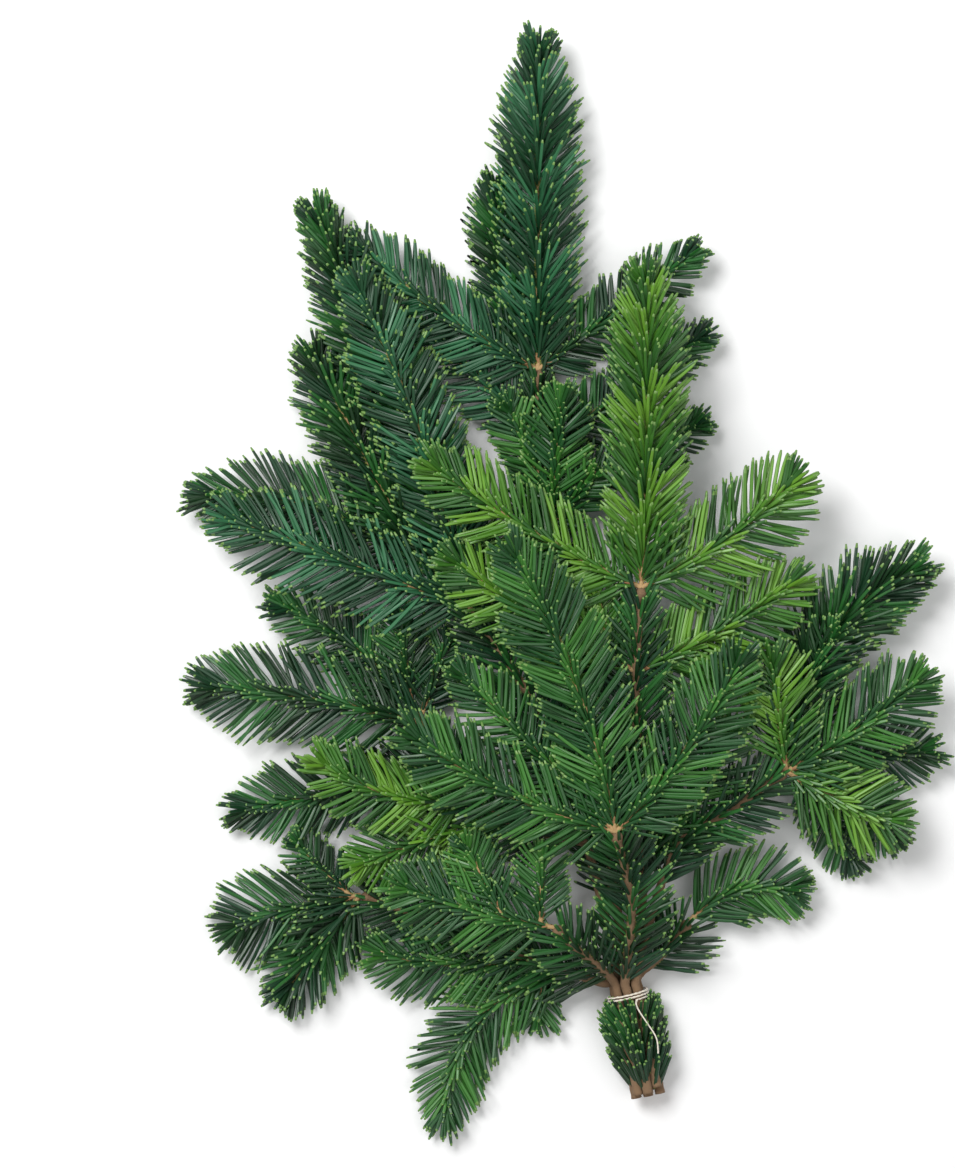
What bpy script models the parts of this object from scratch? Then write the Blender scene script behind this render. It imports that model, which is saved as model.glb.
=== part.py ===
"""A bunch of cut Nordmann fir branches, tied with string near the cut ends and lying flat.

Each branch is a tapering stem. Each of its shoots is one mass of needles: a slim core whose
sides are drawn out into rows of teeth that lean forward, where a tooth stands for a spray of
needles. A mass keeps to its own space. A point belongs to the shoot whose axis is nearest, and
a tooth that would leave that space or touch a stem is shortened or left out.

Places are in millimetres: x to the right, y from the foot to the top, z up from the floor, with
the origin on the floor under the middle of the bunch.
"""

import math
import random
from collections import namedtuple

import bmesh
import bpy
import numpy as np
from mathutils import Vector

PLANT = "Nordmann fir bunch"
SEED = 7
MM = 0.001
GAP = 0.3
UP = np.array([0.0, 0.0, 1.0])

# The bundle of cut ends: its axis runs from the foot to the string.
FOOT = np.array([50.0, -300.0, 14.0])
TIE = np.array([38.0, -241.0, 14.0])
STEMS_ROUND_CENTRE = 7
STEM_FOOT_RADIUS = 3.0
STEM_END_RADIUS = 2.2
KNOB_RADIUS = 4.8
KNOB_PROFILE = (-0.6, 0.0, 0.6, 0.9)
BUNDLE_RING = (STEM_FOOT_RADIUS + GAP / 2) / math.sin(math.pi / STEMS_ROUND_CENTRE) + 0.05
BUNDLE_RADIUS = BUNDLE_RING + STEM_FOOT_RADIUS
CUT_STAGGER = 2.5
RELEASE = 10.0
RELEASE_SPREAD = 1.15

# The string: turns round the bundle, then a loose tail over the foot.
STRING_RADIUS = 0.7
STRING_TURNS = 2.5
STRING_PITCH = 1.8
STRING_STEP = 26.0
STRING_SLACK = 1.0
STRING_TAIL = [(43, -247, 29.5), (49, -256, 31), (54, -264, 31), (55, -273, 30.5)]

# A stem has its slot in the bundle and its route from there. Its sleeve of needles starts where
# the stem has that much room from every other stem.
Stem = namedtuple("Stem", "slot route sleeve_room")
STEMS = {
    "middle_stem": Stem(0, [(46, -184, 24), (43, -102, 44), (41, -61, 50), (44, -1, 54)], 10.5),
    "front_stem": Stem(1, [(39, -184, 38), (29, -142, 58)], 6.5),
    "right_stem": Stem(2, [(53, -187, 25), (68, -150, 31), (99, -129, 36), (129, -108, 38)], 10.5),
    "bottom_right_stem": Stem(3, [(56, -219, 12), (74, -197, 16)], 10.5),
    "back_stem": Stem(4, [(28, -172, 10), (9, -67, 10), (-10, 38, 12), (-15, 127, 16)], 10.5),
    "left_stem": Stem(5, [(19, -172, 19), (-2, -102, 26), (-26, -55, 30), (-55, -13, 32)], 10.5),
    "bottom_left_stem": Stem(
        6, [(21, -233, 13), (-26, -216, 15), (-72, -198, 15), (-119, -182, 14)], 10.5
    ),
    "near_left_stem": Stem(7, [(22, -224, 29), (7, -211, 40), (-6, -198, 46)], 8.5),
}
# This stem forks off the left one, so far before that one's end.
FORK_STEM = "low_left_stem"
FORK_FROM = "left_stem"
FORK_BACK = 156
FORK_ROUTE = [(-26, -140, 24), (-61, -118, 25), (-81, -81, 23)]
FORK_SLEEVE_ROOM = 10.5

# A shoot leaves its stem so far before the stem's end, and bulges sideways and upwards.
Shoot = namedtuple("Shoot", "stem back tip bow rise reach style tint")
SHOOTS = {
    "back_leader": Shoot("back_stem", 0, (-15, 311, 22), 0, 0, 27, "brush", "blue"),
    "back_second": Shoot("back_stem", 4, (-39, 233, 11), 5, -8, 22, "brush", "dark"),
    "back_left_upper": Shoot("back_stem", 0, (-117, 197, 18), 5, 4, 25, "flat", "blue"),
    "back_left_lower": Shoot("back_stem", 37, (-90, 158, 12), 0, 0, 24, "flat", "blue"),
    "back_right_upper": Shoot("back_stem", 0, (73, 193, 20), 0, 0, 21, "flat", "dark"),
    "back_right_middle": Shoot("back_stem", 48, (80, 146, 14), 0, 0, 20, "flat", "dark"),
    "back_right_lower": Shoot("back_stem", 77, (78, 94, 12), 0, 0, 20, "flat", "dark"),
    "back_inner": Shoot("back_stem", 104, (-2, 108, 32), 0, 3, 22, "flat", "mid"),
    "middle_leader": Shoot("middle_stem", 0, (47, 175, 52), -2, 0, 26, "brush", "bright"),
    "middle_left_upper": Shoot("middle_stem", 0, (-74, 68, 50), 4, 0, 27, "flat", "bright"),
    "middle_left_lower": Shoot("middle_stem", 49, (-62, 13, 46), 3, 0, 26, "flat", "bright"),
    "middle_right_upper": Shoot("middle_stem", 0, (130, 58, 44), -5, 0, 30, "flat", "bright"),
    "middle_right_lower": Shoot("middle_stem", 49, (130, 0, 40), -3, 0, 28, "flat", "bright"),
    "middle_right_foot": Shoot("middle_stem", 165, (97, -85, 44), -3, 0, 24, "flat", "mid"),
    "front_leader": Shoot("front_stem", 0, (-29, 17, 76), -8, 2, 29, "flat", "mid"),
    "front_left": Shoot("front_stem", 0, (-86, -87, 62), 6, 2, 28, "flat", "mid"),
    "front_inner": Shoot("front_stem", 0, (-58, -53, 48), 0, -2, 23, "flat", "mid"),
    "front_right": Shoot("front_stem", 0, (99, -45, 62), -5, 2, 27, "flat", "mid"),
    "near_left": Shoot("near_left_stem", 0, (-93, -175, 44), 3, 2, 26, "flat", "mid"),
    "right_leader": Shoot("right_stem", 0, (203, -57, 36), -3, 2, 28, "flat", "mid"),
    "right_lower": Shoot("right_stem", 0, (189, -137, 34), -2, 2, 27, "flat", "bright"),
    "right_upper": Shoot("right_stem", 0, (120, -45, 50), 0, 3, 25, "flat", "bright"),
    "right_rear": Shoot("right_stem", 0, (202, 8, 22), 20, -4, 29, "brush", "dark"),
    "right_under": Shoot("right_stem", 0, (211, -97, 16), 0, -7, 24, "flat", "dark"),
    "left_leader": Shoot("left_stem", 0, (-193, 38, 28), 0, 2, 31, "flat", "blue"),
    "left_under": Shoot("left_stem", 0, (-208, 53, 14), -19, -4, 29, "flat", "dark"),
    "left_upper": Shoot("left_stem", 0, (-119, 171, 40), -6, 3, 28, "flat", "blue"),
    "left_rear": Shoot("left_stem", 33, (-143, 214, 18), 0, -3, 29, "brush", "dark"),
    "low_left_leader": Shoot(FORK_STEM, 0, (-206, -60, 15), -3, 2, 31, "flat", "dark"),
    "low_left_inner": Shoot(FORK_STEM, 0, (-165, -12, 13), -8, -4, 23, "flat", "dark"),
    "low_left_under": Shoot(FORK_STEM, 32, (-187, -132, 10), 0, -4, 26, "flat", "dark"),
    "low_left_curved": Shoot(FORK_STEM, 53, (-140, -104, 30), 9, 3, 24, "flat", "bright"),
    "low_left_lower": Shoot(FORK_STEM, 77, (-117, -162, 25), -2, 0, 24, "flat", "bright"),
    "bottom_left_leader": Shoot("bottom_left_stem", 0, (-191, -200, 10), -2, 0, 30, "flat", "dark"),
    "bottom_left_lower": Shoot("bottom_left_stem", 0, (-162, -238, 10), -1, 0, 24, "brush", "dark"),
    "bottom_left_inner": Shoot("bottom_left_stem", 108, (-106, -217, 15), 4, 0, 25, "flat", "mid"),
    "bottom_left_hanging": Shoot("bottom_left_stem", 130, (-69, -310, 9), -21, 0, 26, "flat", "mid"),
    "bottom_right": Shoot("bottom_right_stem", 0, (133, -179, 14), 9, 0, 25, "flat", "mid"),
}

# A side twig leaves the core of its mass so far out from the core's root.
SideTwig = namedtuple("SideTwig", "mass out tip bow rise reach style")
SIDE_TWIGS = [
    SideTwig("back_inner", 14, (16, 64, 27), 0, 0, 18, "flat"),
    SideTwig("back_inner", 26, (-33, 105, 26), 0, 0, 18, "flat"),
    SideTwig("middle_left_lower", 15, (15, 13, 45), 0, 0, 16, "flat"),
    SideTwig("middle_right_lower", 20, (99, -43, 37), 0, 0, 18, "flat"),
    SideTwig("near_left", 8, (-13, -156, 52), 0, 0, 18, "flat"),
    SideTwig("near_left", 30, (-57, -151, 46), 0, 0, 18, "flat"),
    SideTwig("right_rear", 50, (158, -28, 36), 0, 0, 18, "flat"),
    SideTwig("right_under", 22, (193, -147, 12), 0, 0, 20, "flat"),
    SideTwig("right_under", 12, (170, -161, 10), 0, 0, 20, "flat"),
    SideTwig("left_under", 41, (-145, 132, 15), 0, 0, 26, "brush"),
    SideTwig("low_left_inner", 14, (-96, -21, 24), 0, 0, 18, "flat"),
    SideTwig("low_left_inner", 5, (-68, -30, 16), 0, 0, 16, "flat"),
    SideTwig("bottom_left_leader", 6, (-156, -152, 14), 0, 0, 16, "flat"),
    SideTwig("bottom_left_hanging", 16, (-16, -256, 9), 0, 0, 16, "flat"),
]

# The sides of a core, each with its row of teeth: how long they are against the shoot's reach,
# how far they lean out from the axis in degrees, and at every how many steps there is one.
Side = namedtuple("Side", "size lean every")
ACROSS = Side(1.0, 58, 1)
BARE = Side(0.0, 0, 0)
# A core's outline: the roll of its first side from level and to the right, then anticlockwise
# as seen from the root, and the length of a step. The last side of a shoot faces the floor.
Outline = namedtuple("Outline", "first_roll step sides")
OUTLINES = {
    "flat": Outline(0, 7.8, [ACROSS, Side(0.5, 38, 2), ACROSS]),
    "brush": Outline(-18, 8.0, [ACROSS, Side(0.85, 42, 1), Side(0.85, 42, 1), ACROSS]),
}
FLOOR_SIDE = Side(0.6, 45, 4)
FLOOR_SIDE_BELOW = 24
CORE_ROOT_RADIUS = 1.5
CORE_TIP_RADIUS = 0.8
BARE_ROOT = 6.5
TIP_LEAN = 28
TIP_SIZE = 0.65
ROOT_SIZE = 0.9
END_BUD = 12.0
LENGTH_JITTER = 0.08
LEAN_JITTER = 3

# The needles along a stem: a thin tube round it, with teeth.
SLEEVE = Outline(0, 10.5, [ACROSS, Side(0.6, 45, 2), Side(0.6, 45, 2), ACROSS, BARE, BARE])
SLEEVE_WALL = 1.9
SLEEVE_REACH = 24
SLEEVE_KNOB_GAP = 3.0
ROOT_CLEARANCE_AT = (0.0, 10.0, 20.0, 30.0)
ROOT_CLEARANCE = 1.2
STEM_STEP = 22.0
STRING_SEGMENT = 5.0

# The needles round the tied cut ends: a short tube with teeth, over this stretch of the bundle.
FOOT_NAME = "foot_needles"
FOOT_SPAN = (8.0, 50.0)
FOOT_NEEDLES = Outline(0, 8.5, [Side(1.0, 40, 1)] * 8)
FOOT_WALL = 1.3
FOOT_REACH = 12
BUNDLE_SIDES = 12

# The space rule. Heights count more than plan distances, so the spaces are flat like the shoots.
SAMPLE_STEP = 3.0
HEIGHT_WEIGHT = 1.6
SPACE_MARGIN = 3.8
STEM_MARGIN = 1.2
SHORTER = (1.0, 0.85, 0.7, 0.55, 0.42)

COLOURS = {
    "dark": (0.010, 0.085, 0.022),
    "blue": (0.022, 0.140, 0.080),
    "mid": (0.028, 0.180, 0.040),
    "bright": (0.090, 0.270, 0.035),
    "bark": (0.262, 0.147, 0.069),
    "string": (0.900, 0.820, 0.690),
}


class Axis:
    """A smooth line in space with a radius that tapers along it."""

    def __init__(self, points, root_radius, end_radius):
        steps = np.linalg.norm(np.diff(points, axis=0), axis=1)
        distances = np.concatenate([[0.0], np.cumsum(steps)])
        self.length = distances[-1]
        count = max(2, math.ceil(self.length / SAMPLE_STEP)) + 1
        self.stations = np.linspace(0.0, self.length, count)
        columns = [np.interp(self.stations, distances, points[:, i]) for i in range(3)]
        self.samples = np.stack(columns, axis=1)
        self.radii = np.linspace(root_radius, end_radius, count)

    def grown(self, more):
        """The same line with a larger radius."""
        return Axis(self.samples, self.radii[0] + more, self.radii[-1] + more)

    def at(self, distance):
        return np.array([np.interp(distance, self.stations, self.samples[:, i]) for i in range(3)])

    def radius(self, distance):
        return float(np.interp(distance, self.stations, self.radii))

    def outward(self, distance, roll):
        """The direction square to the axis that lies so many degrees round from level right."""
        _, side, up = self.frame(distance)
        return math.cos(math.radians(roll)) * side + math.sin(math.radians(roll)) * up

    def frame(self, distance):
        """The direction along the axis, the level direction to its right and the one above it."""
        ahead = unit(self.at(distance + SAMPLE_STEP) - self.at(distance - SAMPLE_STEP))
        side = unit(np.cross(ahead, UP))
        return ahead, side, np.cross(side, ahead)


def unit(vector):
    return vector / np.linalg.norm(vector)


def smooth_line(points, pieces=12):
    """A Catmull-Rom curve through the points."""
    points = [np.array(p, float) for p in points]
    ends = [2 * points[0] - points[1]] + points + [2 * points[-1] - points[-2]]
    line = []
    for before, start, end, after in zip(ends, ends[1:], ends[2:], ends[3:]):
        for t in np.linspace(0.0, 1.0, pieces, endpoint=False):
            line.append(0.5 * (
                2 * start
                + (end - before) * t
                + (2 * before - 5 * start + 4 * end - after) * t**2
                + (3 * start - before - 3 * end + after) * t**3
            ))
    return np.array(line + [points[-1]])


def bulging_line(root, tip, bow, rise):
    """A curve from root to tip whose middle lies bow to the left of the chord and rise above it."""
    root, tip = np.array(root, float), np.array(tip, float)
    left = unit(np.cross(UP, tip - root))
    bend = (root + tip) / 2 + 2 * (bow * left + rise * UP)
    t = np.linspace(0.0, 1.0, 24)[:, None]
    return (1 - t) ** 2 * root + 2 * t * (1 - t) * bend + t**2 * tip


def bundle_frame():
    ahead = unit(TIE - FOOT)
    side = unit(np.cross(ahead, UP))
    return ahead, side, np.cross(side, ahead)


def bundle_offset(slot):
    """Where a stem runs in the bundle: slot 0 at the centre, the others clockwise from the top."""
    _, side, up = bundle_frame()
    if slot == 0:
        return np.zeros(3)
    angle = math.pi / 2 - 2 * math.pi * (slot - 1) / STEMS_ROUND_CENTRE
    return BUNDLE_RING * (math.cos(angle) * side + math.sin(angle) * up)


def bundle_axis():
    return Axis(np.array([FOOT, TIE]), BUNDLE_RADIUS, BUNDLE_RADIUS)


def bundled_stem_axis(stem):
    ahead = bundle_frame()[0]
    offset = bundle_offset(stem.slot)
    foot = FOOT + offset + CUT_STAGGER * (stem.slot % 3) * ahead
    release = TIE + RELEASE * ahead + RELEASE_SPREAD * offset
    line = smooth_line([foot, TIE + offset, release, *stem.route])
    return Axis(line, STEM_FOOT_RADIUS, STEM_END_RADIUS)


def stem_axes():
    axes = {name: bundled_stem_axis(stem) for name, stem in STEMS.items()}
    parent = axes[FORK_FROM]
    line = smooth_line([parent.at(parent.length - FORK_BACK), *FORK_ROUTE])
    axes[FORK_STEM] = Axis(line, STEM_END_RADIUS, STEM_END_RADIUS)
    return axes


def twig_axis(root, shoot):
    line = bulging_line(root, shoot.tip, shoot.bow, shoot.rise)
    return Axis(line, CORE_ROOT_RADIUS, CORE_TIP_RADIUS)


def mass_twigs(stems):
    """For each mass its twigs, as (axis, shoot), with the main one first."""
    twigs = {}
    for name, shoot in SHOOTS.items():
        stem = stems[shoot.stem]
        twigs[name] = [(twig_axis(stem.at(stem.length - shoot.back), shoot), shoot)]
    for twig in SIDE_TWIGS:
        main = twigs[twig.mass][0][0]
        twigs[twig.mass].append((twig_axis(main.at(twig.out), twig), twig))
    return twigs


def axis_between(axis, start, end):
    points = np.array([axis.at(d) for d in np.linspace(start, end, 60)])
    return Axis(points, axis.radius(start), axis.radius(end))


def sleeve_axis(name, stems):
    """The stretch of a stem before its knob that has room from every other stem."""
    own = stems[name]
    room = STEMS[name].sleeve_room if name in STEMS else FORK_SLEEVE_ROOM
    others = np.concatenate([axis.samples for other, axis in stems.items() if other != name])
    distances = np.linalg.norm(own.samples[:, None] - others[None], axis=2).min(axis=1)
    end = own.length - KNOB_RADIUS - SLEEVE_KNOB_GAP
    inside = own.stations < end
    crowded = own.stations[inside & (distances < room)]
    return axis_between(own, crowded.max() + SAMPLE_STEP, end)


def sleeve_name(stem_name):
    return stem_name.replace("stem", "sleeve")


class Space:
    """Which points belong to which mass, and which ones are clear of the stems and the string."""

    def __init__(self, masses, stems, string):
        self.names = list(masses)
        lines = [np.concatenate([axis.samples for axis in axes]) for axes in masses.values()]
        self.samples = np.concatenate([flat(line) for line in lines])
        self.owners = np.repeat(np.arange(len(lines)), [len(line) for line in lines])
        solids = [*stems.values(), string]
        self.solid_samples = np.concatenate([solid.samples for solid in solids])
        self.solid_radii = np.concatenate([solid.radii for solid in solids])

    def holds(self, point, mass):
        """Whether the point is well inside the mass's space."""
        distances = np.linalg.norm(self.samples - flat(point), axis=1)
        own = self.owners == self.names.index(mass)
        if distances[~own].min() - distances[own].min() < SPACE_MARGIN:
            return False
        room = np.linalg.norm(self.solid_samples - point, axis=1) - self.solid_radii
        return room.min() > STEM_MARGIN


def flat(points):
    return points * np.array([1.0, 1.0, HEIGHT_WEIGHT])


def add_to_plant(obj, kind):
    """Puts an object in the plant's collection, with the material of that kind."""
    if PLANT not in bpy.data.collections:
        bpy.context.scene.collection.children.link(bpy.data.collections.new(PLANT))
    bpy.data.collections[PLANT].objects.link(obj)
    obj.data.materials.append(bpy.data.materials.get(kind) or new_material(kind))
    return obj


def new_material(kind):
    material = bpy.data.materials.new(kind)
    material.use_nodes = True
    shader = material.node_tree.nodes["Principled BSDF"]
    shader.inputs["Base Color"].default_value = (*COLOURS[kind], 1.0)
    shader.inputs["Roughness"].default_value = 0.85 if kind in ("bark", "string") else 0.5
    shader.inputs["Metallic"].default_value = 0.0
    return material


def tube_curve(name, points, radii, resolution):
    """A curve with a bevel of the given radii and closed ends, with 4 sides and 2 a resolution."""
    curve = bpy.data.curves.new(name, "CURVE")
    curve.dimensions = "3D"
    curve.bevel_depth = MM
    curve.bevel_resolution = resolution
    curve.use_fill_caps = True
    spline = curve.splines.new("POLY")
    spline.points.add(len(points) - 1)
    for spot, point, radius in zip(spline.points, points, radii):
        spot.co = (*(np.array(point) * MM), 1.0)
        spot.radius = radius
    return bpy.data.objects.new(name, curve)


def mesh_from_curve(obj):
    """The curve's tube as a mesh object with welded caps, in the place of the curve."""
    bpy.context.scene.collection.objects.link(obj)
    graph = bpy.context.evaluated_depsgraph_get()
    mesh = bpy.data.meshes.new_from_object(obj.evaluated_get(graph))
    name, place = obj.name, obj.matrix_world.copy()
    bpy.data.objects.remove(obj)
    bm = bmesh.new()
    bm.from_mesh(mesh)
    bmesh.ops.remove_doubles(bm, verts=bm.verts, dist=1e-6)
    bmesh.ops.recalc_face_normals(bm, faces=bm.faces)
    bm.to_mesh(mesh)
    bm.free()
    made = bpy.data.objects.new(name, mesh)
    made.matrix_world = place
    return made


def spaced(axis, end, step, grow=0.0):
    """Points about a step apart along an axis, and the radii there."""
    distances = np.linspace(0.0, end, max(3, math.ceil(end / step)) + 1)
    return [axis.at(d) for d in distances], [axis.radius(d) + grow for d in distances]


def stem_outline(axis, grow=0.0):
    """Points and radii of a stem with a knob at its end, made larger all round by grow."""
    points, radii = spaced(axis, axis.length - KNOB_RADIUS, STEM_STEP)
    ahead = axis.frame(axis.length)[0]
    for share in KNOB_PROFILE:
        points.append(axis.at(axis.length) + share * KNOB_RADIUS * ahead)
        radii.append(KNOB_RADIUS * math.sqrt(1 - share**2))
    points[0] = points[0] - grow * axis.frame(0.0)[0]
    points[-1] = points[-1] + grow * ahead
    return points, [radius + grow for radius in radii]


def tooth_vector(axis, side, roll, reach, distance, rng):
    """A tooth's root and the way to its tip: shorter at both ends, and forward at the far one."""
    share = distance / axis.length
    near_tip = max(0.0, share - 0.75) / 0.25
    near_root = max(0.0, 0.2 - share) / 0.2
    lean = side.lean + (TIP_LEAN - side.lean) * near_tip
    lean = math.radians(lean + rng.uniform(-LEAN_JITTER, LEAN_JITTER))
    size = 1 - (1 - TIP_SIZE) * near_tip - (1 - ROOT_SIZE) * near_root
    length = side.size * size * reach / math.sin(math.radians(side.lean))
    length *= 1 + rng.uniform(-LENGTH_JITTER, LENGTH_JITTER)
    ahead = axis.frame(distance)[0]
    out = axis.outward(distance, roll)
    root = axis.at(distance) + axis.radius(distance) * out
    return root, length * (math.cos(lean) * ahead + math.sin(lean) * out)


def longest_free(root, vector, holds):
    """The tip of the longest tooth whose outer part stays in its space, or None."""
    for share in SHORTER:
        points = [root + share * part * vector for part in (0.5, 0.75, 1.0)]
        for point in points:
            point[2] = max(point[2], 0.0)
        if all(holds(point) for point in points):
            return points[-1]
    return None


def toothed_tube(name, axis, outline, reach, bare, holds, rng):
    """A closed tube along an axis, with its sides drawn out into teeth past its bare root."""
    steps = max(2, round(axis.length / outline.step))
    stations = np.linspace(0.0, axis.length, steps + 1)
    turn = 360.0 / len(outline.sides)
    rolls = [outline.first_roll + turn * j for j in range(len(outline.sides))]
    bm = bmesh.new()
    rings = []
    for distance in stations:
        corners = [axis.outward(distance, roll - turn / 2) for roll in rolls]
        ring = [axis.at(distance) + axis.radius(distance) * corner for corner in corners]
        rings.append([bm.verts.new(point) for point in ring])
    bm.faces.new(rings[0])
    end = bm.faces.new(rings[-1])
    for k, (near, far) in enumerate(zip(rings, rings[1:])):
        middle = (stations[k] + stations[k + 1]) / 2
        for j, (side, roll) in enumerate(zip(outline.sides, rolls)):
            after = (j + 1) % len(rolls)
            face = bm.faces.new((near[j], near[after], far[after], far[j]))
            if side.size and k % side.every == 0 and stations[k] >= bare:
                draw_out(bm, face, axis, side, roll, reach, middle, holds, rng)
    if bare:
        bud = bmesh.ops.poke(bm, faces=[end])["verts"][0]
        bud.co = axis.at(axis.length) + END_BUD * axis.frame(axis.length)[0]
    bmesh.ops.recalc_face_normals(bm, faces=bm.faces)
    bmesh.ops.scale(bm, vec=(MM, MM, MM), verts=bm.verts)
    return mesh_object(name, bm)


def draw_out(bm, face, axis, side, roll, reach, distance, holds, rng):
    """Makes a tooth of one face of the tube, where there is room for it."""
    root, vector = tooth_vector(axis, side, roll, reach, distance, rng)
    tip = longest_free(root, vector, holds)
    if tip is not None:
        bmesh.ops.poke(bm, faces=[face])["verts"][0].co = tip


def mesh_object(name, bm):
    mesh = bpy.data.meshes.new(name)
    bm.to_mesh(mesh)
    bm.free()
    return bpy.data.objects.new(name, mesh)


def apply_boolean(base, operation, pieces):
    """Joins the pieces to the base, or cuts them out of it, and removes them."""
    group = bpy.data.collections.new("Pieces")
    bpy.context.scene.collection.children.link(group)
    for piece in pieces:
        group.objects.link(piece)
    modifier = base.modifiers.new("Boolean", "BOOLEAN")
    modifier.operation = operation
    modifier.operand_type = "COLLECTION"
    modifier.collection = group
    graph = bpy.context.evaluated_depsgraph_get()
    mesh = bpy.data.meshes.new_from_object(base.evaluated_get(graph))
    base.modifiers.clear()
    base.data = mesh
    for piece in list(group.objects):
        bpy.data.objects.remove(piece)
    bpy.data.collections.remove(group)


def keep_largest_body(obj):
    """Drops the loose scraps that a cut leaves."""
    bm = bmesh.new()
    bm.from_mesh(obj.data)
    left = set(bm.verts)
    bodies = []
    while left:
        body, edge = set(), [left.pop()]
        while edge:
            vert = edge.pop()
            body.add(vert)
            found = {e.other_vert(vert) for e in vert.link_edges} & left
            left -= found
            edge.extend(found)
        bodies.append(body)
    largest = max(bodies, key=len)
    scraps = [vert for vert in bm.verts if vert not in largest]
    bmesh.ops.delete(bm, geom=scraps, context="VERTS")
    bm.to_mesh(obj.data)
    bm.free()


def clearances(stems, left_out=None):
    """The stems, larger all round by the gap, as cutters."""
    made = []
    for name, axis in stems.items():
        if name != left_out:
            made.append(mesh_from_curve(tube_curve("clearance", *stem_outline(axis, GAP), 1)))
    return made


def root_clearances(twigs, axis):
    """The roots of the shoots that leave a stem along an axis, made larger, as cutters."""
    made = []
    for main in (mass[0][0] for mass in twigs.values()):
        apart = np.linalg.norm(axis.samples - main.at(0.0), axis=1).min()
        if apart < SAMPLE_STEP:
            points = [main.at(d) for d in ROOT_CLEARANCE_AT]
            radii = [CORE_ROOT_RADIUS + ROOT_CLEARANCE] * len(points)
            made.append(mesh_from_curve(tube_curve("root", points, radii, 1)))
    return made


def twig_outline(axis, style):
    """The outline of a twig's core, with teeth underneath where it lies near the floor."""
    outline = OUTLINES[style]
    low = axis.samples[:, 2].mean() < FLOOR_SIDE_BELOW
    return outline._replace(sides=[*outline.sides, FLOOR_SIDE if low else BARE])


def make_mass(name, twigs, space, stems, rng):
    """A mass of needles: its twigs joined into one, and cut clear of the stems."""
    def holds(point):
        return space.holds(point, name)

    made = [
        toothed_tube(name, axis, twig_outline(axis, twig.style), twig.reach, BARE_ROOT, holds, rng)
        for axis, twig in twigs
    ]
    mass = add_to_plant(made[0], SHOOTS[name].tint)
    if made[1:]:
        apply_boolean(mass, "UNION", made[1:])
    apply_boolean(mass, "DIFFERENCE", clearances(stems))
    keep_largest_body(mass)


def make_sleeve(name, axis, space, stems, twigs, rng):
    """The needles along a stem: a thin tube round it with teeth, cut clear of it."""
    def holds(point):
        return space.holds(point, name)

    wide = axis.grown(SLEEVE_WALL)
    sleeve = add_to_plant(toothed_tube(name, wide, SLEEVE, SLEEVE_REACH, 0.0, holds, rng), "dark")
    apply_boolean(sleeve, "DIFFERENCE", clearances(stems) + root_clearances(twigs, axis))
    keep_largest_body(sleeve)


def cylinder(name, ends, radius):
    """A straight cylinder between two points."""
    along = Vector(ends[1] - ends[0])
    bm = bmesh.new()
    bmesh.ops.create_cone(
        bm, cap_ends=True, segments=BUNDLE_SIDES, radius1=radius * MM, radius2=radius * MM,
        depth=along.length * MM,
    )
    place = along.to_track_quat("Z", "Y").to_matrix().to_4x4()
    place.translation = Vector((ends[0] + ends[1]) / 2 * MM)
    bmesh.ops.transform(bm, matrix=place, verts=bm.verts)
    return mesh_object(name, bm)


def make_foot_needles(axis, space, rng):
    """The needles round the tied cut ends: a short tube with blades all round."""
    def holds(point):
        return space.holds(point, FOOT_NAME)

    inner = (BUNDLE_RADIUS + GAP) / math.cos(math.pi / BUNDLE_SIDES)
    outer = (inner + FOOT_WALL) / math.cos(math.pi / len(FOOT_NEEDLES.sides))
    wide = axis.grown(outer - BUNDLE_RADIUS)
    foot = add_to_plant(
        toothed_tube(FOOT_NAME, wide, FOOT_NEEDLES, FOOT_REACH, 0.0, holds, rng), "dark"
    )
    past = axis.frame(0.0)[0]
    bundle = cylinder("bundle", [axis.at(0.0) - past, axis.at(axis.length) + past], inner)
    apply_boolean(foot, "DIFFERENCE", [bundle])
    keep_largest_body(foot)


def string_axis():
    """The string's turns round the bundle, from below, and the tail that lies over the foot."""
    ahead, side, up = bundle_frame()
    radius = BUNDLE_RADIUS + GAP + STRING_RADIUS + STRING_SLACK
    points = []
    for angle in np.arange(0.0, 360.0 * STRING_TURNS, STRING_STEP):
        turn = math.radians(angle)
        centre = TIE + (STRING_TURNS / 2 - angle / 360.0) * STRING_PITCH * ahead
        points.append(centre + radius * (math.sin(turn) * side - math.cos(turn) * up))
    tail = smooth_line([points[-1], *STRING_TAIL], 3)
    return Axis(np.array(points + list(tail[1:])), STRING_RADIUS, STRING_RADIUS)


def make_string(axis):
    outline = spaced(axis, axis.length, STRING_SEGMENT)
    add_to_plant(tube_curve("string", *outline, 0), "string")


def make_stem(name, axis):
    add_to_plant(tube_curve(name, *stem_outline(axis), 1), "bark")


def make_fork_stem(stems):
    """The stem that forks off another, cut clear of it."""
    curve = tube_curve(FORK_STEM, *stem_outline(stems[FORK_STEM]), 1)
    stem = add_to_plant(mesh_from_curve(curve), "bark")
    apply_boolean(stem, "DIFFERENCE", clearances(stems, left_out=FORK_STEM))
    keep_largest_body(stem)


def clear_scene():
    for obj in list(bpy.data.objects):
        bpy.data.objects.remove(obj)


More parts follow.
